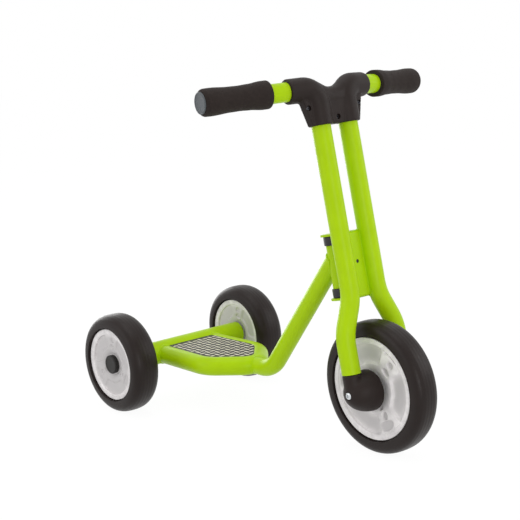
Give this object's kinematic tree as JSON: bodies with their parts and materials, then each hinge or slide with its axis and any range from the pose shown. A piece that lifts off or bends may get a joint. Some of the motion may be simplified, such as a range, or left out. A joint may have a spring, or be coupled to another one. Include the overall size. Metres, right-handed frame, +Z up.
{
  "type": "three wheel kids scooter",
  "caption": "Low kids push scooter: a raked twin tube fork with a swept handlebar steers a larger front wheel, and a bent tube deck sits between the rear wheels.",
  "frame": {"origin": "on the ground under the middle of the whole scooter, in its mirror plane", "axes": "+X forward, +Y to the rider's left, +Z up"},
  "size_m": [0.814, 0.5306, 0.6838],
  "materials": {
    "green_paint": "glossy lime green powder coat",
    "cover_plastic": "fine grained black moulding",
    "grip_rubber": "soft matt black rubber",
    "grip_cap_plastic": "plain grey moulding",
    "tyre": "smooth dark grey tyre",
    "rim_plastic": "satin white moulding",
    "hub_cap_plastic": "dark grey moulding",
    "bush_plastic": "smooth black moulding",
    "zinc_steel": "bright zinc plate",
    "dark_steel": "dark plated steel",
    "tread_rubber": "dark tread sheet with a raised light pattern"
  },
  "bodies": {
    "frame": {"rear_axle_tube": "green_paint", "rear_axle_rod": "zinc_steel", "rear_axle_plug_left": "dark_steel", "rear_axle_plug_right": "dark_steel", "rear_axle_spacer_left": "zinc_steel", "rear_axle_spacer_right": "zinc_steel", "rear_lock_nut_left": "zinc_steel", "rear_lock_nut_right": "zinc_steel", "deck_loop_tube": "green_paint", "deck_pan": "green_paint", "deck_tread_plate": "tread_rubber", "down_tube": "green_paint", "head_tube": "green_paint", "head_bush_upper": "bush_plastic", "head_bush_lower": "bush_plastic"},
    "steering": {"fork_tube_left": "green_paint", "fork_tube_right": "green_paint", "head_bracket": "green_paint", "pivot_pin": "dark_steel", "pivot_screw_upper": "dark_steel", "pivot_screw_lower": "dark_steel", "handlebar_cover_front": "cover_plastic", "handlebar_cover_back": "cover_plastic", "cover_screw_left": "dark_steel", "cover_screw_right": "dark_steel", "cover_screw_middle": "dark_steel", "grip_left": "grip_rubber", "grip_right": "grip_rubber", "grip_end_cap_left": "grip_cap_plastic", "grip_end_cap_right": "grip_cap_plastic", "fork_dropout_left": "dark_steel", "fork_dropout_right": "dark_steel", "fork_end_cover_left": "cover_plastic", "fork_end_cover_right": "cover_plastic", "front_axle_spacer_left": "zinc_steel", "front_axle_spacer_right": "zinc_steel", "front_axle_screw_left": "zinc_steel", "front_axle_screw_right": "zinc_steel", "front_axle": "zinc_steel"},
    "front_wheel": {"front_tyre": "tyre", "front_rim_left": "rim_plastic", "front_rim_right": "rim_plastic", "front_bearing_left": "dark_steel", "front_bearing_right": "dark_steel"},
    "rear_left_wheel": {"rear_left_tyre": "tyre", "rear_left_rim_left": "rim_plastic", "rear_left_rim_right": "rim_plastic", "rear_left_bearing_left": "dark_steel", "rear_left_bearing_right": "dark_steel", "rear_hub_cap_left": "hub_cap_plastic"},
    "rear_right_wheel": {"rear_right_tyre": "tyre", "rear_right_rim_left": "rim_plastic", "rear_right_rim_right": "rim_plastic", "rear_right_bearing_left": "dark_steel", "rear_right_bearing_right": "dark_steel", "rear_hub_cap_right": "hub_cap_plastic"}
  },
  "joints": [
    {"name": "steering_turn", "type": "hinge", "parent": "frame", "child": "steering", "pos_m": [0.19059, 0, 0.33404], "axis": [-0.1857, 0, 0.9826], "range_deg": [-110, 110]},
    {"name": "front_wheel_spin", "type": "hinge", "parent": "steering", "child": "front_wheel", "pos_m": [0.2845, 0, 0.1225], "axis": [0, 1, 0], "continuous": true},
    {"name": "rear_left_wheel_spin", "type": "hinge", "parent": "frame", "child": "rear_left_wheel", "pos_m": [-0.3045, 0.1672, 0.1025], "axis": [0, 1, 0], "continuous": true},
    {"name": "rear_right_wheel_spin", "type": "hinge", "parent": "frame", "child": "rear_right_wheel", "pos_m": [-0.3045, -0.1672, 0.1025], "axis": [0, 1, 0], "continuous": true}
  ]
}
